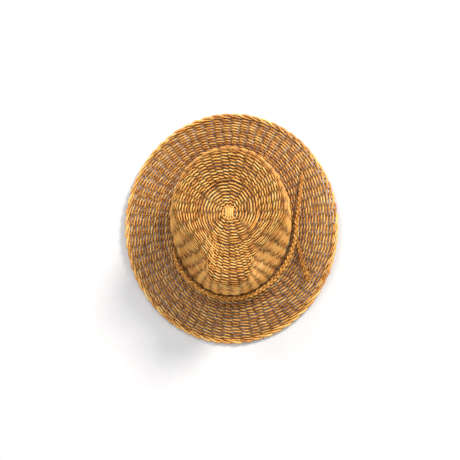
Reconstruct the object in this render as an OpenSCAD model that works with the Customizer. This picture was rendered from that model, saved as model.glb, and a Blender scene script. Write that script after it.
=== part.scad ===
// Hand-woven wicker sun hat with a pinched teardrop crown, a wide brim with a rolled border
// and a loose plaited band round the front.
// The origin is on the surface that the brim rests on, under the middle of the hat.
// +Z is up, the front is -Y and the wearer's left is +X.

/* [Head opening] */
// Width inside the sweatband
head_w = 166; // [152:1:176]
// Length inside the sweatband, front to back
head_l = 200; // [186:1:212]

/* [Crown] */
// Height of the shoulder above the brim turn, half way along
crown_h = 98; // [84:1:110]
// How much higher the shoulder is at the back than at the front
crown_rise = 22; // [8:1:30]
// Depth of the dished top below the shoulder
dish_depth = 8; // [2:1:14]
// How far the shoulder stands in at the sides
side_taper = 8; // [5:1:14]
// How far the shoulder stands in at the back
back_taper = 14; // [8:1:20]
// Depth of the pinch on each side of the front, as a share of the half width
pinch = 0.46; // [0.2:0.02:0.5]

/* [Brim] */
// Width of the brim outside the crown
brim_w = 70; // [60:1:80]
// Drop of the brim from the turn to its front and back edges
brim_drop = 13; // [8:1:18]
// How far the sides of the brim curl up
side_curl = 7; // [2:1:8]
// Radius of the rolled border
border_r = 2.6; // [2.2:0.1:3]

/* [Canes] */
// Diameter of the canes that cross in the middle of the crown
cane_d = 2.6; // [2.2:0.1:2.8]
// Diameter of the added stakes
stake_d = 2; // [1.6:0.1:2.2]
// Thickness of the weave on each side of the stakes
weave_t = 1.4; // [1:0.1:1.6]
// Number of stakes in the brim, each ending in one scallop of the border
brim_stakes_n = 64; // [48:4:72]

/* [Band] */
// Width of the plaited band
band_w = 7; // [6:0.5:8]
// Thickness of the plaited band
band_t = 4; // [3.5:0.1:4.5]
// Gap between the loose band and the crown
band_gap = 2; // [1.8:0.1:3]

/* [Sweatband] */
// Height of the cloth strip
sweat_h = 30; // [20:1:34]
// Thickness of the cloth strip
sweat_t = 0.9; // [0.8:0.1:1.4]

/* [Hidden] */

straw = "burlywood";
straw_dark = "peru";
plait = "sandybrown";

// The weave is two thin skins, with the stakes between them and a little clearance.
skin_in = cane_d / 2 + 0.2;
skin_out = skin_in + weave_t;
sweat_gap = 0.6;

// Half axes of the middle of the weave at the brim turn, and at the brim's edge
turn_a = head_w / 2 + sweat_t + sweat_gap + skin_out;
turn_b = head_l / 2 + sweat_t + sweat_gap + skin_out;
turn_z = border_r + brim_drop;
brim_run = skin_out + brim_w - border_r;

// Half axes of the crown's shoulder
top_a = turn_a - side_taper;
top_back = turn_b - back_taper;
top_front = turn_b - 1;

// Rounding of the shoulder and of the brim turn, to each side of the corner
shoulder_round = 12;
turn_round = 5;
// Outward swell of the crown's side, which turns inward in the pinches
side_swell = 2.5;

// ---- The hat's middle surface, from the crown's centre (u = 0) over the shoulder (u = 1)
// and the brim turn (u = 2) to the brim's edge (u = 3). t is the direction in degrees.

function front_share(t) = max(0, -sin(t));
function pinch_share(t) = sin(180 * pow(front_share(t), 1.5));
function shoulder_x(t) = top_a * cos(t) * (1 - pinch * pinch_share(t));
function shoulder_y(t) = (sin(t) > 0 ? top_back : top_front) * sin(t);
function shoulder(t) = [
  shoulder_x(t),
  shoulder_y(t),
  turn_z + crown_h + crown_rise * shoulder_y(t) / (top_back + top_front)
];
function centre_z() = turn_z + crown_h - dish_depth;
function turn(t) = [turn_a * cos(t), turn_b * sin(t), turn_z];
function edge(t) = [
  (turn_a + brim_run) * cos(t),
  (turn_b + brim_run) * sin(t),
  border_r + side_curl * pow(abs(cos(t)), 3)
];

function top_len(t) = norm([shoulder(t).x, shoulder(t).y]);
function side_len(t) = norm(turn(t) - shoulder(t));
function brim_len(t) = norm(edge(t) - turn(t));

// The top is oval in the middle and takes the pinched outline towards the shoulder.
function top_point(v, t) = [
  v * (top_a * cos(t) + ease(v / 0.9) * (shoulder_x(t) - top_a * cos(t))),
  v * shoulder_y(t),
  centre_z() + (shoulder(t).z - centre_z()) * v * v
];
function side_point(v, t) =
  shoulder(t) + v * (turn(t) - shoulder(t))
  + side_swell * sin(180 * v) * (1 - 2 * pinch_share(t)) * [cos(t), sin(t), 0];
function brim_point(v, t) = turn(t) + v * (edge(t) - turn(t));

// The surface with sharp corners, by distance along it in millimetres
function sharp(s, t) =
  s < top_len(t) ? top_point(s / top_len(t), t)
  : s < top_len(t) + side_len(t) ? side_point((s - top_len(t)) / side_len(t), t)
  : brim_point((s - top_len(t) - side_len(t)) / brim_len(t), t);
function distance(u, t) =
  u < 1 ? u * top_len(t)
  : u < 2 ? top_len(t) + (u - 1) * side_len(t)
  : top_len(t) + side_len(t) + (u - 2) * brim_len(t);
function ease(x) = let (c = min(1, max(0, x))) c * c * (3 - 2 * c);
function rounding(u) =
  shoulder_round * ease(u / 0.4) * (1 - ease((u - 1.3) / 0.4)) + turn_round * ease((u - 1.3) / 0.4);

// The rounded surface: a weighted mean of five points of the sharp one
function surf(u, t) =
  let (s = distance(u, t), d = rounding(u))
  (sharp(s - d, t) + 2 * sharp(s - d / 2, t) + 2 * sharp(s, t)
   + 2 * sharp(s + d / 2, t) + sharp(s + d, t)) / 8;

function unit(v) = v / norm(v);
function along(u, t) = unit(surf(u + 0.01, t) - surf(u - 0.01, t));
function around(u, t) = unit(surf(u, t + 0.5) - surf(u, t - 0.5));
function outward(u, t) = unit(cross(along(u, t), around(u, t)));
function lifted(u, t, off) = surf(u, t) + off * outward(u, t);

// ---- Solids made from rings of points

// Rings of equal size joined into one closed solid; a loop joins the last ring to the first
module lofted(rings, loop = false) {
  n = len(rings);
  m = len(rings[0]);
  last = loop ? n - 1 : n - 2;
  sides = [
    for (i = [0 : last], j = [0 : m - 1])
      let (k = (i + 1) % n, l = (j + 1) % m)
        each [[i * m + j, i * m + l, k * m + l], [i * m + j, k * m + l, k * m + j]]
  ];
  caps = loop ? [] : [
    [for (j = [m - 1 : -1 : 0]) j],
    [for (j = [0 : m - 1]) (n - 1) * m + j]
  ];
  polyhedron([for (r = rings) each r], concat(sides, caps), convexity = 8);
}

// A skin of the weave: us are its rows, lo and hi its faces' distances from the middle surface
module skin(us, lo, hi, columns, shift) {
  ts = [for (i = [0 : columns - 1]) shift + i * 360 / columns];
  lofted([
    for (t = ts)
      concat(
        [for (u = us) lifted(u, t, lo)],
        [for (i = [len(us) - 1 : -1 : 0]) lifted(us[i], t, hi)]
      )
  ], loop = true);
}

module weave(us, columns, shift) {
  skin(us, skin_in, skin_out, columns, shift);
  skin(us, -skin_out, -skin_in, columns, shift);
}

// One ring of an oval tube, across the direction dir, with its thickness along up
function oval(p, dir, up, half_w, half_t, sides) =
  let (side = unit(cross(dir, up)), top = unit(cross(side, dir)))
  [for (i = [0 : sides - 1]) let (a = i * 360 / sides) p + half_w * cos(a) * side + half_t * sin(a) * top];

function path_dir(path, i) = unit(path[min(i + 1, len(path) - 1)] - path[max(i - 1, 0)]);

module cane(path, ups, r) {
  lofted([for (i = [0 : len(path) - 1]) oval(path[i], path_dir(path, i), ups[i], r, r, 6)]);
}

// ---- Stakes and canes

stake_rows = [0.53, 0.7, 0.84, 0.92, 1, 1.08, 1.18, 1.45, 1.7, 1.9];
cane_rows = concat([0.13, 0.36], stake_rows);
cane_pitch = cane_d + 0.3;
cross_half = 5;
cross_lift = cane_d / 2 + 0.1;
spokes = 12;
spoke_step = 360 / spokes;
stake_beside = spoke_step / 3;
crown_columns = 3 * spokes;
crown_shift = spoke_step / 6;

// Direction of a spoke, counted from the wearer's left
function spoke_dir(i) = (i + 0.5) * spoke_step;

// A through cane: from the brim turn over the crown's middle to the other side's turn.
// The middle run is straight, lift above the middle surface.
module through_cane(t_near, t_far, near, far, lift) {
  back_rows = [for (i = [len(cane_rows) - 1 : -1 : 0]) cane_rows[i]];
  middle = [near + [0, 0, centre_z() + lift], far + [0, 0, centre_z() + lift]];
  path = concat(
    [for (u = back_rows) surf(u, t_near)],
    middle,
    [for (u = cane_rows) surf(u, t_far)]
  );
  ups = concat(
    [for (u = back_rows) outward(u, t_near)],
    [[0, 0, 1], [0, 0, 1]],
    [for (u = cane_rows) outward(u, t_far)]
  );
  cane(path, ups, cane_d / 2);
}

module long_canes() {
  color(straw)
  for (i = [0 : 3]) {
    x = (i - 1.5) * cane_pitch;
    through_cane(spoke_dir(7 + i), spoke_dir(4 - i), [x, -cross_half, 0], [x, cross_half, 0], cross_lift);
  }
}

module wide_canes() {
  color(straw)
  for (i = [0 : 1]) {
    y = (i - 0.5) * cane_pitch;
    through_cane(spoke_dir(6 - i), spoke_dir(i - 1), [-cross_half, y, 0], [cross_half, y, 0], -cross_lift);
  }
}

// Two added stakes beside each of the twelve spokes
module crown_stakes() {
  color(straw)
  for (i = [0 : spokes - 1], side = [-stake_beside, stake_beside]) {
    t = spoke_dir(i) + side;
    cane([for (u = stake_rows) surf(u, t)], [for (u = stake_rows) outward(u, t)], stake_d / 2);
  }
}

// The brim is ruled, so its stakes are straight.
module rod(p, q, r) {
  v = q - p;
  translate(p)
  rotate([0, acos(v.z / norm(v)), atan2(v.y, v.x)])
  cylinder(h = norm(v), r = r, $fn = 24);
}

module brim_stakes() {
  color(straw_dark)
  for (i = [0 : brim_stakes_n - 1]) {
    t = (i + 0.5) * 360 / brim_stakes_n;
    rod(surf(2.09, t), surf(2.955, t), stake_d / 2);
  }
}

// ---- Weave

// Rows of the sweatband, which the side's weave shares so that the two keep their gap
sweat_low = 1.95;
sweat_high = sweat_low - sweat_h / (crown_h + 4);
sweat_rows = [for (i = [0 : 3]) sweat_high + i / 3 * (sweat_low - sweat_high)];

start_rows = [0.13, 0.36, 0.53];
top_rows = [0.53, 0.7, 0.84, 0.92, 1];
side_rows = concat([1, 1.08, 1.18, 1.45], sweat_rows, [2]);
brim_rows = [2, 2.04, 2.1, 2.5, 2.955];

module crown_start_weave() {
  color(straw)
  weave(start_rows, crown_columns, crown_shift);
}

module crown_top_weave() {
  color(straw)
  weave(top_rows, crown_columns, crown_shift);
}

module crown_side_weave() {
  color(plait)
  weave(side_rows, crown_columns, crown_shift);
}

module brim_weave() {
  color(straw_dark)
  weave(brim_rows, brim_stakes_n, 180 / brim_stakes_n);
}

// The rolled border: each brim stake's end makes one scallop.
scallop = 1.4;
border_sides = 8;

module brim_border() {
  steps = 2 * brim_stakes_n;
  color(straw_dark)
  lofted([
    for (i = [0 : steps - 1])
      let (
        t = (i + 0.5) * 360 / steps,
        dip = i % 2 == 0 ? 0 : scallop / 2,
        axis = edge(t) - dip * [cos(t), sin(t), 0]
      )
      oval(axis, around(2.9, t), [0, 0, 1], border_r - dip, border_r, border_sides)
  ], loop = true);
}

// ---- Sweatband

stitches = 36;
stitch_len = 6;
stitch_r = 0.4;
hem = 0.04;

module sweatband() {
  color("tan")
  skin(sweat_rows, -skin_out - sweat_gap - sweat_t, -skin_out - sweat_gap, crown_columns, crown_shift);
}

// Each stitch is half sunk in the cloth that it goes through.
module sweatband_stitches() {
  off = -skin_out - sweat_gap - sweat_t - stitch_r;
  u = sweat_low - hem;
  color("saddlebrown")
  for (i = [0 : stitches - 1]) {
    t = i * 360 / stitches;
    p = lifted(u, t, off);
    rod(p - around(u, t) * stitch_len / 2, p + around(u, t) * stitch_len / 2, stitch_r);
  }
}

// ---- Loose plaited band round the front. Its right end leaves the crown as the upper tail,
// and its left end is lashed where it goes into the wall. The lower tail comes out of the
// weave under it.

band_from = -158;
band_to = 2;
band_steps = 44;
// Length of arc, in degrees, over which the band comes away from the wall at its left end
band_entry = 12;
band_entry_shift = 3;
// How much further out it stands at its right end, and the arc over which it moves out
band_exit = 40;
band_exit_shift = 1.5;
band_rest = 1.8;
brim_curl_here = 0.8;
end_taper = 0.6;

function entry_share(t) = ease((t - band_from) / band_entry);
function band_off(t) =
  skin_out + band_gap + band_w / 2
  - band_entry_shift * (1 - entry_share(t)) + band_exit_shift * ease(t / band_exit + 1);
function band_z(t) = turn_z + skin_out + band_rest + band_t / 2 + brim_curl_here * pow(abs(cos(t)), 3);
function band_point(t) = [(turn_a + band_off(t)) * cos(t), (turn_b + band_off(t)) * sin(t), band_z(t)];
function band_dir(t) = unit(band_point(t + 1) - band_point(t - 1));

module hat_band() {
  color(plait)
  lofted([
    for (i = [0 : band_steps])
      let (
        t = band_from + i * (band_to - band_from) / band_steps,
        size = end_taper + (1 - end_taper) * entry_share(t)
      )
      oval(band_point(t), band_dir(t), [0, 0, 1], size * band_w / 2, size * band_t / 2, 8)
  ]);
}

tail_w = 6.4;
tail_t = 3.4;
tail_clear = 0.7;

// Each tail's route: share of the brim's width, direction and lift off the brim
upper_route = [
  [0.15, 3.4, 3.4], [0.18, 7.4, 2.6], [0.242, 14.2, 1.6], [0.332, 21.3, 1.4],
  [0.447, 27.7, 1.6], [0.533, 31.8, 1.8], [0.58, 33.6, 1.6]
];
lower_route = [
  [0.218, -14.9, 0.8], [0.25, -17.8, 1], [0.32, -21.8, 1.6], [0.395, -25.5, 2.4],
  [0.52, -29.5, 3.6], [0.62, -32, 4.6], [0.7, -33.4, 5.6]
];

// Half widths and half thicknesses along each tail, as shares of the full size
upper_taper = [0.9, 1, 1, 1, 0.95, 0.8, 0.3];
lower_taper = [0.75, 0.9, 1, 1, 1, 1, 0.9];

function route_point(r) = lifted(2 + r.x, r.y, skin_out + tail_clear + tail_t / 2 + r.z);
function tail_path(route) = [for (r = route) route_point(r)];

module tail(path, taper) {
  color(plait)
  lofted([
    for (i = [0 : len(path) - 1])
      oval(path[i], path_dir(path, i), [0, 0, 1], taper[i] * tail_w / 2, taper[i] * tail_t / 2, 8)
  ]);
}

module upper_tail() {
  tail(tail_path(upper_route), upper_taper);
}

module lower_tail() {
  tail(tail_path(lower_route), lower_taper);
}

// One turn of thin cane round an oval of the given half sizes
wrap_r = 0.6;
wrap_clear = 0.25;
wrap_steps = 20;

module wrap(p, dir, half_w, half_t) {
  side = unit(cross(dir, [0, 0, 1]));
  top = unit(cross(side, dir));
  ring_w = half_w + wrap_r + wrap_clear;
  ring_t = half_t + wrap_r + wrap_clear;
  color(straw_dark)
  lofted([
    for (i = [0 : wrap_steps - 1])
      let (
        a = i * 360 / wrap_steps,
        spoke = ring_w * cos(a) * side + ring_t * sin(a) * top,
        tangent = -ring_w * sin(a) * side + ring_t * cos(a) * top
      )
      oval(p + spoke, tangent, dir, wrap_r, wrap_r, 6)
  ], loop = true);
}

// The lashing near the band's left end
lashing_turns = 2;
lashing_start = 14;
lashing_step = 1.2;

module band_binding() {
  for (i = [0 : lashing_turns - 1]) {
    t = band_from + lashing_start + i * lashing_step;
    wrap(band_point(t), band_dir(t), band_w / 2, band_t / 2);
  }
}

// Turns round a tail, starting share of the way from point i to point i + 1 of its path
module tail_binding(path, i, share, turns) {
  dir = unit(path[i + 1] - path[i]);
  start = path[i] + share * (path[i + 1] - path[i]);
  for (k = [0 : turns - 1])
    wrap(start + dir * k * (2 * wrap_r + wrap_clear), dir, tail_w / 2, tail_t / 2);
}

module upper_tail_binding() {
  tail_binding(tail_path(upper_route), 4, 0.2, 2);
}

module lower_tail_binding() {
  tail_binding(tail_path(lower_route), 4, 0.4, 3);
}

long_canes();
wide_canes();
crown_stakes();
crown_start_weave();
crown_top_weave();
crown_side_weave();
brim_stakes();
brim_weave();
brim_border();
sweatband();
sweatband_stitches();
hat_band();
band_binding();
upper_tail();
upper_tail_binding();
lower_tail();
lower_tail_binding();
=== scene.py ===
import math

import bpy
import numpy as np
from mathutils import Matrix, Vector


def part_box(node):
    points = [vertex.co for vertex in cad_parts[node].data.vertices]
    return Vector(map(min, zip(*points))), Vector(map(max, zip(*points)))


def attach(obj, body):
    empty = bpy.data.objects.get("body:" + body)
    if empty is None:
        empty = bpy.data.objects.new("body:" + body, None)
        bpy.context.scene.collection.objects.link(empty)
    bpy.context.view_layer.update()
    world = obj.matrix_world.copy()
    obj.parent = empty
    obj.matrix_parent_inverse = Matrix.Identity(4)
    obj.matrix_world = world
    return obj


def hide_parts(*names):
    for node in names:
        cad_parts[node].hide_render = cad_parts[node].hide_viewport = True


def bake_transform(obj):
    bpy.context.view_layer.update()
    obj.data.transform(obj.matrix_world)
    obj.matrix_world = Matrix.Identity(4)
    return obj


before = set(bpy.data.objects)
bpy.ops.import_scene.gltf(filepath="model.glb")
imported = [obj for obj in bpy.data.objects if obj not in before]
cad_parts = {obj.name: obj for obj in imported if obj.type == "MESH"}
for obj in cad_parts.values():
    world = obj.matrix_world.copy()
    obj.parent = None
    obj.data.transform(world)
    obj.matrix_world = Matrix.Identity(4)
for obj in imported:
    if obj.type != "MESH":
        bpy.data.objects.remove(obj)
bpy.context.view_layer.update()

# The hat's looks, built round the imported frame. Everything is in metres and radians, +Z is up,
# the front is -Y and the wearer's left is +X. Each woven node is replaced by its real strands.

MM = 0.001


# ---- Camera, lights and floor

CAMERA_AIM = Vector((0, 0, 20 * MM))
CAMERA_FAR = 1.8
CAMERA_TILT = math.radians(11.59)
CAMERA_TURN = math.radians(9.52)
CAMERA_ROLL = math.radians(0.13)
CAMERA_LENS_MM = 94.16
SENSOR_MM = 36
# The hat stands a little right of the picture's middle and above it.
CAMERA_SIDE = -1.8 * MM
CAMERA_RAISE = -8.6 * MM


def add_camera():
    """Looks down on the hat, tilted to the front, with the back of the hat at the top."""
    back = Vector((
        math.sin(CAMERA_TILT) * math.sin(CAMERA_TURN),
        -math.sin(CAMERA_TILT) * math.cos(CAMERA_TURN),
        math.cos(CAMERA_TILT),
    ))
    plain_up = (Vector((0, 1, 0)) - back * back.y).normalized()
    plain_right = plain_up.cross(back)
    up = plain_up * math.cos(CAMERA_ROLL) + plain_right * math.sin(CAMERA_ROLL)
    right = up.cross(back)
    data = bpy.data.cameras.new("camera")
    data.sensor_width = SENSOR_MM
    data.lens = CAMERA_LENS_MM
    data.dof.use_dof = False
    camera = bpy.data.objects.new("camera", data)
    bpy.context.scene.collection.objects.link(camera)
    place = CAMERA_AIM + back * CAMERA_FAR + right * CAMERA_SIDE + up * CAMERA_RAISE
    turned = Matrix((right, up, back)).transposed().to_4x4()
    camera.matrix_world = Matrix.Translation(place) @ turned
    bpy.context.scene.camera = camera


WORLD_STRENGTH = 0.76
# Each light's place, size, power and colour
KEY_LIGHT = ((2.5, 3.0, 2.8), 1.4, 215, (1.0, 0.965, 0.92))
FILL_LIGHT = ((-1.6, 2.4, 2.6), 2.0, 42, (1.0, 0.99, 0.97))
FLOOR_HALF = 6.0


def add_area_light(name, place, size, power, colour):
    data = bpy.data.lights.new(name, "AREA")
    data.shape = "DISK"
    data.size = size
    data.energy = power
    data.color = colour
    light = bpy.data.objects.new(name, data)
    bpy.context.scene.collection.objects.link(light)
    light.location = place
    light.rotation_euler = (-Vector(place)).to_track_quat("-Z", "Y").to_euler()


def add_lights():
    """A bright even studio, with a soft key from the wearer's left and the back."""
    world = bpy.data.worlds.new("studio")
    bpy.context.scene.world = world
    world.use_nodes = True
    background = world.node_tree.nodes["Background"]
    background.inputs["Color"].default_value = (1.0, 1.0, 1.0, 1.0)
    background.inputs["Strength"].default_value = WORLD_STRENGTH
    add_area_light("key", *KEY_LIGHT)
    add_area_light("fill", *FILL_LIGHT)


def add_floor():
    a = FLOOR_HALF
    mesh = bpy.data.meshes.new("floor")
    corners = [(-a, -a, 0), (a, -a, 0), (a, a, 0), (-a, a, 0)]
    mesh.from_pydata(corners, [], [(0, 1, 2, 3)])
    floor = bpy.data.objects.new("floor", mesh)
    bpy.context.scene.collection.objects.link(floor)
    floor.data.materials.append(floor_material())


# ---- Materials

class Nodes:
    """A short way to write a node material."""

    def __init__(self, name):
        self.material = bpy.data.materials.new(name)
        self.material.use_nodes = True
        self.tree = self.material.node_tree
        self.shader = self.tree.nodes["Principled BSDF"]

    def add(self, kind, **settings):
        node = self.tree.nodes.new(kind)
        for key, value in settings.items():
            setattr(node, key, value)
        return node

    def link(self, out, into):
        self.tree.links.new(out, into)

    def attribute(self, name):
        return self.add("ShaderNodeAttribute", attribute_name=name)

    def stretched(self, vector, scale):
        node = self.add("ShaderNodeVectorMath", operation="MULTIPLY")
        self.link(vector, node.inputs[0])
        node.inputs[1].default_value = scale
        return node.outputs["Vector"]

    def noise(self, vector, scale, detail=3.0, rough=0.6):
        node = self.add("ShaderNodeTexNoise")
        self.link(vector, node.inputs["Vector"])
        node.inputs["Scale"].default_value = scale
        node.inputs["Detail"].default_value = detail
        node.inputs["Roughness"].default_value = rough
        return node.outputs["Fac"]

    def ramp(self, fac, stops):
        node = self.add("ShaderNodeValToRGB")
        self.link(fac, node.inputs["Fac"])
        elements = node.color_ramp.elements
        while len(elements) < len(stops):
            elements.new(0.5)
        for element, (position, colour) in zip(elements, stops):
            element.position = position
            element.color = (*colour, 1.0)
        return node.outputs["Color"]

    def span(self, value, low, high):
        """A value from 0 to 1 moved to the range from low to high."""
        node = self.add("ShaderNodeMapRange")
        self.link(value, node.inputs["Value"])
        node.inputs["To Min"].default_value = low
        node.inputs["To Max"].default_value = high
        return node.outputs["Result"]

    def maths(self, operation, a, b):
        node = self.add("ShaderNodeMath", operation=operation)
        for socket, value in zip(node.inputs, (a, b)):
            if isinstance(value, (int, float)):
                socket.default_value = value
            else:
                self.link(value, socket)
        return node.outputs["Value"]

    def multiply(self, colour, other, share=1.0):
        node = self.add("ShaderNodeMix", data_type="RGBA", blend_type="MULTIPLY")
        node.inputs["Factor"].default_value = share
        self.link(colour, node.inputs["A"])
        self.link(other, node.inputs["B"])
        return node.outputs["Result"]

    def bump(self, height, distance, strength=1.0):
        node = self.add("ShaderNodeBump")
        node.inputs["Distance"].default_value = distance
        node.inputs["Strength"].default_value = strength
        self.link(height, node.inputs["Height"])
        return node.outputs["Normal"]


# Noise frequencies per metre: along a strand, across it and through it
FIBRES = (90, 4200, 4200)
BLOTCHES = (120, 330, 330)
KNOTS = (260, 60, 60)
TAPE_SLUBS = (150, 900, 900)
TAPE_WEFT = (3000, 300, 300)
THREAD_FUZZ = (900, 4000, 4000)
THREAD_PLIES = (1.0, 1.6, 1.6)
# How far fibres and blotches move a strand's tone, and fibres its roughness
FIBRE_TONE = 0.18
BLOTCH_TONE = 0.5
FIBRE_ROUGH = (-0.1, 0.16)
FIBRE_DEPTH = 0.05 * MM
CLOTH_DEPTH = 0.12 * MM
# Colours by the strand's shade, and by the noise of its knots
SHADE_COLOURS = [(0.1, (0.10, 0.05, 0.025)), (0.9, (1, 1, 1))]
KNOT_COLOURS = [(0.66, (1, 1, 1)), (0.76, (0.5, 0.38, 0.28))]
PAPER_COLOURS = [(0.3, (0.74, 0.74, 0.75)), (0.7, (0.77, 0.77, 0.78))]
PAPER_GRAIN = 40.0


def cane_material(name, tones, rough):
    """Peeled cane: strands of differing tone, with long fibres, blotches and dark knots."""
    n = Nodes(name)
    strand = n.attribute("strand").outputs["Vector"]
    tint = n.attribute("tint").outputs["Fac"]
    fibres = n.noise(n.stretched(strand, FIBRES), 1.0, 4.0, 0.65)
    blotch = n.noise(n.stretched(strand, BLOTCHES), 1.0, 3.0)
    knots = n.noise(n.stretched(strand, KNOTS), 1.0, 1.0)
    tone = n.maths("ADD", tint, n.span(fibres, -FIBRE_TONE, FIBRE_TONE))
    tone = n.maths("ADD", tone, n.span(blotch, -BLOTCH_TONE, BLOTCH_TONE))
    colour = n.ramp(tone, tones)
    shade = n.attribute("shade").outputs["Fac"]
    colour = n.multiply(colour, n.ramp(shade, SHADE_COLOURS))
    colour = n.multiply(colour, n.ramp(knots, KNOT_COLOURS))
    n.link(colour, n.shader.inputs["Base Color"])
    smooth, dull = FIBRE_ROUGH
    n.link(n.span(fibres, rough + smooth, rough + dull), n.shader.inputs["Roughness"])
    n.link(n.bump(fibres, FIBRE_DEPTH, 0.9), n.shader.inputs["Normal"])
    n.shader.inputs["Specular IOR Level"].default_value = 0.3
    return n.material


def cloth_material(name, dark, light):
    """Cotton tape: a fine twill with slubs and soft sheen."""
    n = Nodes(name)
    strand = n.attribute("strand").outputs["Vector"]
    warp = n.add("ShaderNodeTexWave", wave_type="BANDS", bands_direction="DIAGONAL")
    n.link(strand, warp.inputs["Vector"])
    warp.inputs["Scale"].default_value = 420
    warp.inputs["Distortion"].default_value = 0.6
    slubs = n.noise(n.stretched(strand, TAPE_SLUBS), 1.0, 4.0)
    weft = n.noise(n.stretched(strand, TAPE_WEFT), 1.0, 2.0)
    tone = n.maths("ADD", n.maths("MULTIPLY", slubs, 0.6), n.maths("MULTIPLY", weft, 0.4))
    n.link(n.ramp(tone, [(0.25, dark), (0.7, light)]), n.shader.inputs["Base Color"])
    height = n.maths("ADD", warp.outputs["Fac"], n.maths("MULTIPLY", weft, 0.6))
    n.link(n.bump(height, CLOTH_DEPTH), n.shader.inputs["Normal"])
    n.link(n.span(slubs, 0.8, 0.95), n.shader.inputs["Roughness"])
    n.shader.inputs["Sheen Weight"].default_value = 0.25
    return n.material


def thread_material(name, dark, light):
    """Twisted thread: a fine helix of plies."""
    n = Nodes(name)
    strand = n.attribute("strand").outputs["Vector"]
    plies = n.add("ShaderNodeTexWave", wave_type="BANDS", bands_direction="DIAGONAL")
    n.link(n.stretched(strand, THREAD_PLIES), plies.inputs["Vector"])
    plies.inputs["Scale"].default_value = 500
    fuzz = n.noise(n.stretched(strand, THREAD_FUZZ), 1.0, 3.0)
    n.link(n.ramp(fuzz, [(0.3, dark), (0.7, light)]), n.shader.inputs["Base Color"])
    n.link(n.bump(plies.outputs["Fac"], CLOTH_DEPTH), n.shader.inputs["Normal"])
    n.link(n.span(fuzz, 0.6, 0.8), n.shader.inputs["Roughness"])
    return n.material


def floor_material():
    """Pale matt paper."""
    n = Nodes("pale_floor")
    place = n.add("ShaderNodeTexCoord").outputs["Object"]
    n.link(n.ramp(n.noise(place, PAPER_GRAIN), PAPER_COLOURS), n.shader.inputs["Base Color"])
    n.shader.inputs["Roughness"].default_value = 0.9
    n.shader.inputs["Specular IOR Level"].default_value = 0.1
    return n.material


CROWN_TONES = [
    (0.05, (0.320, 0.100, 0.014)),
    (0.35, (0.720, 0.290, 0.048)),
    (0.60, (0.970, 0.480, 0.105)),
    (0.95, (1.000, 0.690, 0.230)),
]
BRIM_TONES = [
    (0.05, (0.270, 0.080, 0.014)),
    (0.35, (0.610, 0.240, 0.040)),
    (0.60, (0.890, 0.420, 0.085)),
    (0.95, (1.000, 0.660, 0.210)),
]
PLAIT_TONES = [
    (0.05, (0.250, 0.075, 0.010)),
    (0.40, (0.560, 0.220, 0.032)),
    (0.70, (0.800, 0.380, 0.070)),
    (0.95, (0.930, 0.550, 0.150)),
]


# ---- The hat's middle surface, the same one that the frame is made on

BORDER_R = 2.6 * MM
BRIM_RUN = 70.3 * MM
BRIM_DROP = 13 * MM
SIDE_CURL = 7 * MM
CROWN_H = 98 * MM
CROWN_RISE = 22 * MM
DISH_DEPTH = 8 * MM
SIDE_TAPER = 8 * MM
BACK_TAPER = 14 * MM
FRONT_TAPER = 1 * MM
PINCH = 0.46
SHOULDER_ROUND = 12 * MM
TURN_ROUND = 5 * MM
SIDE_SWELL = 2.5 * MM
SKIN_OUT = 2.9 * MM
# The pinches fade towards the crown's middle over this share of the top
PINCH_FADE = 0.9
# The rounding grows from the crown's middle, and half way down the wall it changes from the
# shoulder's to the turn's
MIDDLE_FADE = 0.4
WALL_FROM = 1.3
WALL_FADE = 0.4

border_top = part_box("brim_border")[1]
EDGE_A = border_top[0] - BORDER_R
EDGE_B = border_top[1] - BORDER_R
TURN_A = EDGE_A - BRIM_RUN
TURN_B = EDGE_B - BRIM_RUN
TURN_Z = BORDER_R + BRIM_DROP
TOP_A = TURN_A - SIDE_TAPER
TOP_BACK = TURN_B - BACK_TAPER
TOP_FRONT = TURN_B - FRONT_TAPER
CENTRE_Z = TURN_Z + CROWN_H - DISH_DEPTH


def vectors(x, y, z):
    return np.stack(np.broadcast_arrays(x, y, z), axis=-1).astype(float)


def unit(v):
    return v / np.maximum(np.linalg.norm(v, axis=-1, keepdims=True), 1e-12)


def ease(x):
    c = np.clip(x, 0, 1)
    return c * c * (3 - 2 * c)


def pinch_share(t):
    """0 at the back and in the middle of the front, 1 where the front is pinched most."""
    return np.sin(math.pi * np.maximum(0, -np.sin(t)) ** 1.5)


def shoulder(t):
    y = np.where(np.sin(t) > 0, TOP_BACK, TOP_FRONT) * np.sin(t)
    x = TOP_A * np.cos(t) * (1 - PINCH * pinch_share(t))
    return vectors(x, y, TURN_Z + CROWN_H + CROWN_RISE * y / (TOP_BACK + TOP_FRONT))


def turn(t):
    return vectors(TURN_A * np.cos(t), TURN_B * np.sin(t), TURN_Z + 0 * t)


def edge(t):
    curl = BORDER_R + SIDE_CURL * np.abs(np.cos(t)) ** 3
    return vectors(EDGE_A * np.cos(t), EDGE_B * np.sin(t), curl)


def lengths(t):
    """Lengths of the top, the side and the brim along direction t."""
    top = np.linalg.norm(shoulder(t)[..., :2], axis=-1)
    side = np.linalg.norm(turn(t) - shoulder(t), axis=-1)
    brim = np.linalg.norm(edge(t) - turn(t), axis=-1)
    return top, side, brim


def top_point(v, t):
    rim = shoulder(t)
    oval = TOP_A * np.cos(t)
    x = v * (oval + ease(v / PINCH_FADE) * (rim[..., 0] - oval))
    return vectors(x, v * rim[..., 1], CENTRE_Z + (rim[..., 2] - CENTRE_Z) * v * v)


def side_point(v, t):
    swell = SIDE_SWELL * np.sin(math.pi * v) * (1 - 2 * pinch_share(t))
    line = shoulder(t) + v[..., None] * (turn(t) - shoulder(t))
    return line + swell[..., None] * vectors(np.cos(t), np.sin(t), 0 * t)


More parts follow.
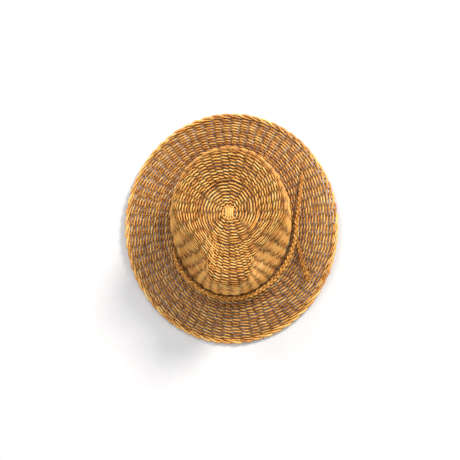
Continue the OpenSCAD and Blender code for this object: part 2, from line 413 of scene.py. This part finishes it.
def sharp(s, t):
    """The surface with sharp corners, by distance s from the crown's centre."""
    top, side, brim = lengths(t)
    rim = turn(t)
    out = rim + ((s - top - side) / brim)[..., None] * (edge(t) - rim)
    wall = side_point((s - top) / side, t)
    inner = top_point(s / top, t)
    return np.where((s < top)[..., None], inner, np.where((s < top + side)[..., None], wall, out))


def surf(u, t):
    """The rounded surface: u is 0 in the middle, 1 at the shoulder, 2 at the turn, 3 at the edge."""
    u, t = np.broadcast_arrays(np.asarray(u, float), np.asarray(t, float))
    top, side, brim = lengths(t)
    outer = np.where(u < 2, top + (u - 1) * side, top + side + (u - 2) * brim)
    s = np.where(u < 1, u * top, outer)
    past = ease((u - WALL_FROM) / WALL_FADE)
    d = SHOULDER_ROUND * ease(u / MIDDLE_FADE) * (1 - past) + TURN_ROUND * past
    near = sharp(s - d / 2, t) + sharp(s, t) + sharp(s + d / 2, t)
    return (sharp(s - d, t) + 2 * near + sharp(s + d, t)) / 8


def outward(u, t):
    along = surf(u + 0.01, t) - surf(u - 0.01, t)
    around = surf(u, t + 0.009) - surf(u, t - 0.009)
    return unit(np.cross(along, around))


def lifted(u, t, off):
    return surf(u, t) + np.asarray(off)[..., None] * outward(u, t)


# ---- Strands: tubes that carry their own length and tone for the materials

def wander(rng, n, every):
    """n smooth random values from -1 to 1, with a new one about every so many points."""
    x = np.arange(n) / every
    i = x.astype(int)
    knots = rng.uniform(-1, 1, i[-1] + 2)
    f = ease(x - i)
    return knots[i] * (1 - f) + knots[i + 1] * f


def spliced(rng, lengths_along, low, high, piece=0.7):
    """A tone for each point: a new weaver is laid in after about every piece metres."""
    total = lengths_along[-1] + piece
    cuts = np.cumsum(rng.uniform(0.4, 1.6, int(total / piece / 0.4) + 2) * piece)
    tones = rng.uniform(low, high, len(cuts) + 1)
    return tones[np.searchsorted(cuts, lengths_along)]


# The shade of a strand's flanks, where 1 is its top
FLANK_SHADE = 0.2


class Strands:
    """Collects tubes and makes them one mesh object."""

    def __init__(self, seed):
        self.rng = np.random.default_rng(seed)
        self.points = []
        self.faces = []
        self.strand = []
        self.tint = []
        self.shade = []
        self.count = 0

    def loft(self, rings, across, tone, shade):
        """rings is steps x sides x 3, and across the same points in the strand's own frame."""
        steps, sides, _ = rings.shape
        near = np.arange(steps - 1)[:, None] * sides
        far = near + sides
        left = np.arange(sides)[None, :]
        right = (left + 1) % sides
        quads = np.stack([near + left, near + right, far + right, far + left], -1)
        quads = [quads.reshape(-1, 4)]
        last = (steps - 1) * sides
        for m in range(1, sides - 2, 2):
            quads.append(np.array([[0, m + 2, m + 1, m]]))
            quads.append(last + np.array([[0, m, m + 1, m + 2]]))
        self.faces.append(np.concatenate(quads) + self.count)
        self.points.append(rings.reshape(-1, 3))
        self.strand.append(across.reshape(-1, 3))
        self.tint.append(np.repeat(tone, sides))
        self.shade.append(shade.ravel())
        self.count += steps * sides

    def tube(self, path, up, half_w, half_t, tone, shade=1.0, sides=8):
        """A tube along path: half_t is its half thickness along up, half_w across.

        shade is 1 where the strand stands free and lower where it dives. The flanks, which
        lie against the next strands, are darker than the top and the bottom.
        """
        n = len(path)
        ahead = unit(np.gradient(path, axis=0))
        side = unit(np.cross(ahead, up))
        top = np.cross(side, ahead)
        a = (np.arange(sides) + 0.5) * 2 * math.pi / sides
        w = np.broadcast_to(half_w, n)[:, None] * np.cos(a)
        h = np.broadcast_to(half_t, n)[:, None] * np.sin(a)
        rings = path[:, None] + w[..., None] * side[:, None] + h[..., None] * top[:, None]
        run = run_of(path)[:, None] + self.rng.uniform(0, 30) + 0 * w
        flank = FLANK_SHADE + (1 - FLANK_SHADE) * np.abs(np.sin(a)) / np.abs(np.sin(a)).max()
        shades = np.broadcast_to(shade, n)[:, None] * flank
        self.loft(rings, np.stack([run, w, h], -1), np.broadcast_to(tone, n), shades)

    def piece(self, name, body, slot, nodes, material):
        mesh = bpy.data.meshes.new(name)
        points = np.concatenate(self.points)
        mesh.from_pydata(points, [], np.concatenate(self.faces))
        mesh.polygons.foreach_set("use_smooth", np.ones(len(mesh.polygons), bool))
        strand = mesh.attributes.new("strand", "FLOAT_VECTOR", "POINT")
        strand.data.foreach_set("vector", np.concatenate(self.strand).ravel())
        tint = mesh.attributes.new("tint", "FLOAT", "POINT")
        tint.data.foreach_set("value", np.concatenate(self.tint))
        shade = mesh.attributes.new("shade", "FLOAT", "POINT")
        shade.data.foreach_set("value", np.concatenate(self.shade))
        mesh.materials.append(material)
        obj = bpy.data.objects.new(name, mesh)
        bpy.context.scene.collection.objects.link(obj)
        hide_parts(*nodes)
        if body is not None:
            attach(obj, body)
        return obj


def run_of(path):
    """Distance along a path at each of its points."""
    steps = np.linalg.norm(np.diff(path, axis=0), axis=1)
    return np.concatenate([[0], np.cumsum(steps)])


def curve_through(points, per_span):
    """A smooth curve through given points."""
    p = np.asarray(points, float)
    p = np.concatenate([[2 * p[0] - p[1]], p, [2 * p[-1] - p[-2]]])
    out = []
    for i in range(1, len(p) - 2):
        f = np.linspace(0, 1, per_span, endpoint=False)[:, None]
        a, b, c, d = p[i - 1], p[i], p[i + 1], p[i + 2]
        bend = 2 * a - 5 * b + 4 * c - d
        out.append(0.5 * (2 * b + (c - a) * f + bend * f ** 2 + (3 * b - a - 3 * c + d) * f ** 3))
    out.append(p[-2:-1])
    return np.concatenate(out)


# ---- Weave: pairing, in which two weavers twist round each other between the stakes

SPOKES = 12
CROWN_STAKES = 36
BRIM_STAKES = 64
CROWN_FIRST = math.radians(5)
SPOKE_FIRST = math.radians(15)
BRIM_FIRST = math.pi / BRIM_STAKES


def by_crown(w, t):
    """w is 0 in the crown's middle and 1 at the turn, in even steps along the stake."""
    top, side, _ = lengths(t)
    s = w * (top + side)
    return np.where(s < top, s / top, 1 + (s - top) / side)


def by_brim(w, t):
    return w + 0 * t


BRIM_FROM = 1.97

# How rows are placed, from, to, number of stakes, direction of the first, rows, steps between
# stakes, swing to each side, weaver's radius
START_ZONE = (by_crown, 0.027, 0.24, SPOKES, SPOKE_FIRST, 9, 18, 1.75 * MM, 1.1 * MM)
TOP_ZONE = (by_crown, 0.24, 0.46, CROWN_STAKES, CROWN_FIRST, 10, 12, 1.75 * MM, 1.12 * MM)
SIDE_ZONE = (by_crown, 0.46, 0.995, CROWN_STAKES, CROWN_FIRST, 25, 12, 1.7 * MM, 1.15 * MM)
BRIM_ZONE = (by_brim, BRIM_FROM, 2.955, BRIM_STAKES, BRIM_FIRST, 16, 10, 1.75 * MM, 0.97 * MM)

# The two weavers of a row pass each other side by side, this many radii from the row's middle
TWIST = 0.85
# Depth of the shade in the corner between the wall and the brim, and the corner's width in u
CORNER_SHADE = 0.8
CORNER_WIDTH = 0.045
# The pinches are darker: painted shade, as the dents face away from the light
PINCH_SHADE = 0.16
DIVE_SHADE = 0.12
FLOAT_CHANGE = 0.14
# How far a crossing strays from the middle between two stakes, in radians of the row's wave
STRAY = 0.8
# How square the row's wave is: the weavers lie flat over the stakes and cross quickly
SQUARE = 0.6
# How much a row's place, a weaver's thickness and its tone wander, with how many new values of
# the first two in a round
ROW_WANDER = 0.1
ROW_CHANGES = 5
THICK_WANDER = 0.12
THICK_CHANGES = 7
TONE_WANDER = 0.24
# A weaver's radius is at most this share of the rows' distance, and more in the corner
FIT = 0.29
CORNER_FIT = 0.07
CORNER_THICK = 0.3


def row_pitch(place, w, step, angle):
    """The distance from one row to the next."""
    above = surf(place(w + step / 2, angle), angle)
    below = surf(place(w - step / 2, angle), angle)
    return np.linalg.norm(above - below, axis=-1)


def weaver(zone, which, seed, tones):
    """One of the two weavers of a zone, all along its spiral of rows."""
    place, low, high, stakes, first, rows, steps, swing, radius = zone
    shared = np.random.default_rng(seed)
    strands = Strands(seed + which)
    rng = strands.rng
    around = stakes * steps
    n = rows * around + 1
    angle = np.linspace(0, rows * 2 * math.pi, n)
    step = (high - low) / rows
    w = low + (angle / (2 * math.pi) + 0.5 + ROW_WANDER * wander(shared, n, around / ROW_CHANGES)) * step
    w = np.clip(w, low, high)
    pitch = row_pitch(place, w, step, angle)
    thick = radius * (1 + THICK_WANDER * wander(rng, n, around / THICK_CHANGES))
    near_corner = np.exp(-((w - 2) / CORNER_WIDTH) ** 2) if place is by_brim else 0
    room = (FIT + CORNER_FIT * near_corner) * pitch
    thick = np.minimum(thick * (1 + CORNER_THICK * near_corner), room)
    phase = stakes / 2 * (angle - first)
    phase = phase + STRAY * wander(shared, n, steps * 0.7) * np.sin(phase) ** 2 + which * math.pi
    wave = np.sign(np.cos(phase)) * np.abs(np.cos(phase)) ** SQUARE
    u = place(w + step * TWIST * thick / pitch * np.sin(phase), angle)
    swing = swing * (1 + FLOAT_CHANGE * wander(rng, n, steps))
    path = lifted(u, angle, swing * wave)
    tone = spliced(rng, run_of(path), *tones) + TONE_WANDER * wander(rng, n, steps)
    corner = 1 - CORNER_SHADE * np.exp(-((u - 2) / CORNER_WIDTH) ** 2)
    # Painted shade on the pinched dents of the wall
    dent_shade = 1 - PINCH_SHADE * pinch_share(angle) * ease(4 * u - 4) * (u < 2)
    shade = corner * dent_shade * (DIVE_SHADE + (1 - DIVE_SHADE) * np.abs(wave))
    strands.tube(path, outward(u, angle), thick, thick, tone, shade)
    return strands


def add_weave(name, node, zone, slot, material, seed, tones):
    for which, letter in enumerate("ab"):
        strands = weaver(zone, which, seed, tones)
        strands.piece(f"{name}_weaver_{letter}", "hat", slot, [node], material)


# ---- Stakes and the canes that cross in the middle

CANE_R = 1.3 * MM
STAKE_R = 1.0 * MM
STAKE_SHADE = 0.3
BRIM_STAKE_SHADE = 0.45
CANE_PITCH = 2.9 * MM
CROSS_HALF = 5 * MM
CROSS_LIFT = 1.4 * MM
START_BLOCK = 8.5 * MM
# Canes that cross the middle are a little flat
CANE_FLAT = 1.12
CANE_TONE = (0.62, 0.85)
CROWN_STAKE_TONE = (0.35, 0.65)
BRIM_STAKE_TONE = (0.3, 0.6)


def stake_rows(start, count):
    """Places along a stake, from start to the foot of the crown's wall."""
    return np.concatenate([np.linspace(start, 0.9, count), np.linspace(0.93, 1.96, 40)])


def spoke_dir(i):
    return SPOKE_FIRST + i * 2 * math.pi / SPOKES


def through_cane(strands, t_near, t_far, near, far, lift):
    rows = stake_rows(0.13, 20)
    middle = vectors(*np.array([near, far]).T, CENTRE_Z + lift)
    path = np.concatenate([surf(rows[::-1], t_near), middle, surf(rows, t_far)])
    ups = np.concatenate([outward(rows[::-1], t_near), vectors([0, 0], 0, 1), outward(rows, t_far)])
    path = curve_through(path, 2)
    ups = np.repeat(ups, 2, axis=0)[:len(path)]
    tone = strands.rng.uniform(*CANE_TONE)
    free = np.linalg.norm(path[:, :2], axis=-1) / START_BLOCK
    shade = 1 - (1 - STAKE_SHADE) * ease(4 * (free - 1))
    tone = tone + 0.1 * wander(strands.rng, len(path), 12)
    strands.tube(path, ups, CANE_FLAT * CANE_R, CANE_R, tone, shade)


def add_through_canes(material):
    long_ones = Strands(21)
    for i in range(4):
        x = (i - 1.5) * CANE_PITCH
        ends = (x, -CROSS_HALF), (x, CROSS_HALF)
        through_cane(long_ones, spoke_dir(7 + i), spoke_dir(4 - i), *ends, CROSS_LIFT)
    long_ones.piece("long_cane_set", "hat", "crown_cane", ["long_canes"], material)
    wide_ones = Strands(22)
    for i in range(2):
        y = (i - 0.5) * CANE_PITCH
        ends = (-CROSS_HALF, y), (CROSS_HALF, y)
        through_cane(wide_ones, spoke_dir(6 - i), spoke_dir(i - 1), *ends, -CROSS_LIFT)
    wide_ones.piece("wide_cane_set", "hat", "crown_cane", ["wide_canes"], material)


def add_crown_stakes(material):
    strands = Strands(23)
    rows = stake_rows(0.51, 12)
    for i in range(SPOKES):
        for side in (-1, 1):
            t = spoke_dir(i) + side * 2 * math.pi / CROWN_STAKES
            tone = strands.rng.uniform(*CROWN_STAKE_TONE)
            strands.tube(surf(rows, t), outward(rows, t), STAKE_R, STAKE_R, tone, STAKE_SHADE)
    strands.piece("crown_stake_set", "hat", "crown_cane", ["crown_stakes"], material)


def add_brim_stakes(material):
    strands = Strands(24)
    rows = np.linspace(BRIM_FROM, 2.965, 22)
    for i in range(BRIM_STAKES):
        t = BRIM_FIRST + i * 2 * math.pi / BRIM_STAKES
        tone = strands.rng.uniform(*BRIM_STAKE_TONE)
        strands.tube(surf(rows, t), outward(rows, t), STAKE_R, STAKE_R, tone, BRIM_STAKE_SHADE)
    strands.piece("brim_stake_set", "hat", "brim_cane", ["brim_stakes"], material)


# How far a stake's end reaches in the border, in distances between stakes
BORDER_REACH = 1.95
BORDER_U = 2.9
# Along it, by share of its length: distance out from the edge, rise and half thickness in mm,
# and shade
BORDER_SHARES = [0, 0.2, 0.42, 0.62, 0.8, 1]
BORDER_OUT = [-4.2, -1.7, 0.0, 1.35, 0.4, -2.4]
BORDER_RISE = [0, 0.9, 1.3, 0.3, -0.9, -1.3]
BORDER_THICK = ([0, 0.35, 0.7, 1], [1.3, 1.95, 1.75, 0.9])
BORDER_SHADE = ([0, 0.3, 0.66, 1], [0.5, 1, 0.95, 0.2])


def add_border(material):
    """Each brim stake's end bends to the side, over the next one, and is tucked under."""
    strands = Strands(25)
    reach = BORDER_REACH * 2 * math.pi / BRIM_STAKES
    q = np.linspace(0, 1, 26)
    out = np.interp(q, BORDER_SHARES, BORDER_OUT) * MM
    rise = np.interp(q, BORDER_SHARES, BORDER_RISE) * MM
    for values in (out, rise):
        for _ in range(3):
            values[1:-1] = (values[:-2] + 2 * values[1:-1] + values[2:]) / 4
    for i in range(BRIM_STAKES):
        t = BRIM_FIRST + i * 2 * math.pi / BRIM_STAKES + reach * q
        size = 1 + strands.rng.uniform(-0.1, 0.1)
        path = edge(t) + (out * size)[:, None] * vectors(np.cos(t), np.sin(t), 0 * t)
        path = path + (rise * size)[:, None] * outward(BORDER_U, t)
        thick = np.interp(q, *BORDER_THICK) * MM * size
        shade = np.interp(q, *BORDER_SHADE)
        tone = strands.rng.uniform(0.35, 0.85) + 0.08 * wander(strands.rng, len(q), 5)
        strands.tube(path, outward(BORDER_U, t), thick, thick, tone, shade)
    strands.piece("turned_border", "hat", "brim_cane", ["brim_border"], material)


# ---- Sweatband and its thread

SWEAT_LOW = 1.95
SWEAT_TALL = 30 * MM
SWEAT_OFF = 3.2 * MM
SWEAT_T = 0.9 * MM
SWEAT_LAP = 10 * MM
HEM_SHARE = 0.1
# Places across the tape, and how much thicker it is there with its hems, in mm
TAPE_SHARES = [0, 0.03, HEM_SHARE, 0.14, 0.5, 0.86, 1 - HEM_SHARE, 0.97, 1]
TAPE_HEMS = [0, 0.35, 0.35, 0, 0, 0, 0.35, 0.35, 0]
TAPE_WAVE = 0.15 * MM
# The upper end of the lap rises over these angles before and after the tape's start
LAP_BEFORE = 0.05
LAP_AFTER = 0.02
LAP_RISE = 0.07
STITCHES = 72
STITCH_SHARE = 0.3
STITCH_R = 0.38 * MM
STITCH_HIGH = 0.45 * MM
STITCH_DIVE = 0.9 * MM
STITCH_U = SWEAT_LOW - 0.04


def add_sweatband(material):
    """A cotton tape inside the foot of the crown, hemmed at both edges and lapped at the back."""
    strands = Strands(31)
    n = 320
    turned = 2 * math.pi + SWEAT_LAP / TURN_A
    t = math.pi / 2 + np.linspace(0, turned, n)
    high = SWEAT_LOW - SWEAT_TALL / (CROWN_H + 4 * MM)
    share = np.array(TAPE_SHARES)
    extra = np.array(TAPE_HEMS) * MM
    wave = TAPE_WAVE * wander(strands.rng, n, 9)
    under = np.clip(np.linspace(0, turned, n) - 2 * math.pi, -LAP_BEFORE, LAP_AFTER) + LAP_BEFORE
    lap = SWEAT_T * 1.2 * ease(under / LAP_RISE)
    rings, across = [], []
    for side in (0, 1):
        for k in (range(len(share)) if side == 0 else reversed(range(len(share)))):
            u = high + share[k] * (SWEAT_LOW - high)
            deep = SWEAT_OFF + side * (SWEAT_T + extra[k]) + lap
            rings.append(lifted(u + 0 * t, t, -(deep + wave * (1 - share[k]))))
            run = (t - t[0]) * TURN_B
            across.append(vectors(run, share[k] * SWEAT_TALL, side * SWEAT_T))
    rings = np.stack(rings, 1)[:, ::-1]
    across = np.stack(across, 1)[:, ::-1]
    strands.loft(rings, across, np.full(n, 0.5), np.ones(rings.shape[:2]))
    tape = strands.piece("cotton_sweatband", "hat", "cotton_tape", ["sweatband"], material)


def add_sweatband_thread(material):
    """A running stitch that dives through the tape between its visible lengths."""
    strands = Strands(32)
    q = np.linspace(-1, 1, 12)
    for i in range(STITCHES):
        t = (i + 0.5) * 2 * math.pi / STITCHES + q * STITCH_SHARE * 2 * math.pi / STITCHES
        deep = SWEAT_OFF + SWEAT_T + STITCH_HIGH - STITCH_DIVE * q ** 4
        path = lifted(STITCH_U + 0 * t, t, -deep)
        strands.tube(path, outward(SWEAT_LOW, t), STITCH_R, STITCH_R, 0.5, sides=6)
    strands.piece("sweatband_thread", "hat", "thread", ["sweatband_stitches"], material)


# ---- Plaits: the loose band round the front and its two tails

BAND_FROM = math.radians(-158)
BAND_TO = math.radians(2)
BAND_ENTRY = math.radians(12)
BAND_ENTRY_SHIFT = 3 * MM
BAND_EXIT = math.radians(40)
BAND_EXIT_SHIFT = 1.5 * MM
BAND_REST = 1.8 * MM
BAND_W = 7 * MM
BAND_T = 4 * MM
BAND_GAP = 2 * MM
BAND_CURL = 0.8 * MM
END_TAPER = 0.6
PLAIT_PERIOD = 21 * MM
# A plait's strands swing and rise by these shares of its half sizes, and have these themselves
PLAIT_SWING = 0.56
PLAIT_RISE = 0.5
STRAND_W = 0.44
STRAND_T = 0.5
TIE_PITCH = 1.5 * MM
TIE_R = 0.55 * MM


def plait(strands, line, ups, half_w, half_t, tones):
    """Three flat strands that pass over each other in turn along a line."""
    phase = 2 * math.pi * run_of(line) / PLAIT_PERIOD
    ahead = unit(np.gradient(line, axis=0))
    side = unit(np.cross(ahead, ups))
    top = np.cross(side, ahead)
    half_w = np.broadcast_to(half_w, len(line))
    half_t = np.broadcast_to(half_t, len(line))
    for k in range(3):
        a = phase + k * 2 * math.pi / 3
        x = PLAIT_SWING * half_w * np.sin(a)
        z = PLAIT_RISE * half_t * np.sin(2 * a)
        path = line + x[:, None] * side + z[:, None] * top
        tone = strands.rng.uniform(*tones) + 0.12 * wander(strands.rng, len(line), 30)
        shade = 0.7 + 0.3 * np.sin(2 * a)
        strands.tube(path, top, STRAND_W * half_w, STRAND_T * half_t, tone, shade)


def entry_share(t):
    return ease((t - BAND_FROM) / BAND_ENTRY)


def band_off(t):
    inward = BAND_ENTRY_SHIFT * (1 - entry_share(t))
    return SKIN_OUT + BAND_GAP + BAND_W / 2 - inward + BAND_EXIT_SHIFT * ease(t / BAND_EXIT + 1)


def band_point(t):
    curl = BAND_CURL * np.abs(np.cos(t)) ** 3
    z = TURN_Z + SKIN_OUT + BAND_REST + BAND_T / 2 + curl
    return vectors((TURN_A + band_off(t)) * np.cos(t), (TURN_B + band_off(t)) * np.sin(t), z)


def add_band(material):
    strands = Strands(41)
    t = np.linspace(BAND_FROM, BAND_TO, 460)
    size = END_TAPER + (1 - END_TAPER) * entry_share(t)
    ups = unit(vectors(0.2 * np.cos(t), 0.2 * np.sin(t), 1 + 0 * t))
    plait(strands, band_point(t), ups, BAND_W / 2 * size, BAND_T / 2 * size, (0.35, 0.65))
    strands.piece("plaited_band", "band", "plait", ["hat_band"], material)


TAIL_W = 6.4 * MM
TAIL_T = 3.4 * MM
TAIL_CLEAR = 0.7 * MM

# Share of the brim's width, direction in degrees and lift off the brim in millimetres
UPPER_ROUTE = [
    (0.15, 3.4, 3.4), (0.18, 7.4, 2.6), (0.242, 14.2, 1.6), (0.332, 21.3, 1.4),
    (0.447, 27.7, 1.6), (0.533, 31.8, 1.8), (0.58, 33.6, 1.6),
]
LOWER_ROUTE = [
    (0.218, -14.9, 0.8), (0.25, -17.8, 1), (0.32, -21.8, 1.6), (0.395, -25.5, 2.4),
    (0.52, -29.5, 3.6), (0.62, -32, 4.6), (0.7, -33.4, 5.6),
]


def tail_line(route):
    points = []
    for share, degrees, lift in route:
        off = SKIN_OUT + TAIL_CLEAR + TAIL_T / 2 + lift * MM
        points.append(lifted(2 + share, math.radians(degrees), off))
    return curve_through(points, 20)


def add_tail(name, node, route, start, taper, tones, seed, material, ends):
    """start is where the tail comes from: its first millimetres stay with the hat."""
    strands = Strands(seed)
    root = tail_line(route)
    line = np.concatenate([np.linspace(start, root[0], 16)[:-1], root])
    run = run_of(line)
    size = np.interp(run / run[-1], *zip(*taper))
    ups = vectors(0 * run, 0, 1)
    plait(strands, line, ups, TAIL_W / 2 * size, TAIL_T / 2 * np.sqrt(size), tones)
    for k, (turn_out, length) in enumerate(ends):
        cut_end(strands, line, k, turn_out, length)
    tail = strands.piece(name, None, "plait", [node], material)
    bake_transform(tail)


CUT_APART = 1.2 * MM
CUT_HALF_W = 1.4 * MM
CUT_HALF_T = 0.8 * MM


def cut_end(strands, line, k, turn_out, length):
    """The short loose end of strand k past the tail's tie."""
    ahead = unit(line[-1] - line[-6])
    side = unit(np.cross(ahead, (0, 0, 1)))
    q = np.linspace(0, 1, 8)[:, None]
    start = line[-3] + (k - 1) * CUT_APART * side
    path = start + ahead * length * q + side * turn_out * q * q
    tone = strands.rng.uniform(0.35, 0.7)
    strands.tube(path, vectors(0 * q[:, 0], 0, 1), CUT_HALF_W, CUT_HALF_T, tone)


def wound(strands, middle, ahead, half_w, half_t, turns):
    """Thin cane wound round an oval, as one helix."""
    n = int(turns * 28)
    a = np.linspace(0, turns * 2 * math.pi, n)
    ahead = unit(np.asarray(ahead, float))
    side = unit(np.cross(ahead, (0, 0, 1)))
    top = np.cross(side, ahead)
    spoke = np.cos(a)[:, None] * side * half_w + np.sin(a)[:, None] * top * half_t
    along = (a / (2 * math.pi) - turns / 2)[:, None] * TIE_PITCH * ahead
    tone = strands.rng.uniform(0.25, 0.5) + 0.1 * wander(strands.rng, n, 12)
    strands.tube(middle + spoke + along, spoke, TIE_R * 1.25, TIE_R * 0.75, tone)


def add_tail_tie(name, node, body, route, at, turns, half_w, half_t, seed, material):
    strands = Strands(seed)
    line = tail_line(route)
    i = int(at * (len(line) - 1))
    wound(strands, line[i], line[i + 2] - line[i - 2], half_w, half_t, turns)
    strands.piece(name, body, "binding_cane", [node], material)


BAND_TIE_AT = math.radians(14.6)


def add_band_tie(material):
    """The lashing near the band's left end."""
    strands = Strands(51)
    t = BAND_FROM + BAND_TIE_AT
    ahead = band_point(t + 0.01) - band_point(t - 0.01)
    wound(strands, band_point(t), ahead, 3.8 * MM, 2.3 * MM, 2.5)
    strands.piece("band_tie", "band", "binding_cane", ["band_binding"], material)


# Size along each tail, by share of its length
UPPER_TAPER = [(0, 1.05), (0.6, 1.0), (0.85, 0.8), (1, 0.35)]
LOWER_TAPER = [(0, 0.7), (0.2, 0.9), (0.4, 1.1), (1, 1.3)]
# The turn to the side and the length of each loose end of the lower tail
LOOSE_ENDS = [(1.5 * MM, 3 * MM), (0.2 * MM, 4 * MM), (-1.6 * MM, 3 * MM)]


def add_tails(straw, tie):
    add_tail(
        "upper_tail_plait", "upper_tail", UPPER_ROUTE, band_point(BAND_TO),
        UPPER_TAPER, (0.4, 0.75), 61, straw, [],
    )
    under_band = lifted(2.19, math.radians(-12.2), SKIN_OUT + TAIL_CLEAR + TAIL_T / 2 + 0.3 * MM)
    add_tail(
        "lower_tail_plait", "lower_tail", LOWER_ROUTE, under_band,
        LOWER_TAPER, (0.1, 0.45), 62, straw, LOOSE_ENDS,
    )
    add_tail_tie(
        "upper_tail_tie", "upper_tail_binding", "upper_tail_end", UPPER_ROUTE,
        0.72, 2.5, 3.0 * MM, 1.9 * MM, 63, tie,
    )
    add_tail_tie(
        "lower_tail_tie", "lower_tail_binding", "lower_tail_end", LOWER_ROUTE,
        0.76, 3.5, 4.2 * MM, 2.3 * MM, 64, tie,
    )


# ---- The whole hat

def add_hat():
    crown = cane_material("crown_cane", CROWN_TONES, 0.46)
    brim = cane_material("brim_cane", BRIM_TONES, 0.5)
    straw = cane_material("plaited_straw", PLAIT_TONES, 0.42)
    tie = cane_material("binding_cane", PLAIT_TONES, 0.45)
    cloth = cloth_material("cotton_tape", (0.42, 0.33, 0.2), (0.62, 0.53, 0.38))
    thread = thread_material("waxed_thread", (0.16, 0.09, 0.045), (0.34, 0.21, 0.12))
    add_through_canes(crown)
    add_crown_stakes(crown)
    add_weave("start", "crown_start_weave", START_ZONE, "crown_cane", crown, 1, (0.4, 0.72))
    add_weave("top", "crown_top_weave", TOP_ZONE, "crown_cane", crown, 3, (0.36, 0.7))
    add_weave("side", "crown_side_weave", SIDE_ZONE, "crown_cane", crown, 5, (0.36, 0.68))
    add_brim_stakes(brim)
    add_weave("brim", "brim_weave", BRIM_ZONE, "brim_cane", brim, 7, (0.3, 0.7))
    add_border(brim)
    add_sweatband(cloth)
    add_sweatband_thread(thread)
    add_band(straw)
    add_band_tie(tie)
    add_tails(straw, tie)


bpy.context.scene.view_settings.view_transform = "Standard"
add_camera()
add_lights()
add_floor()
add_hat()
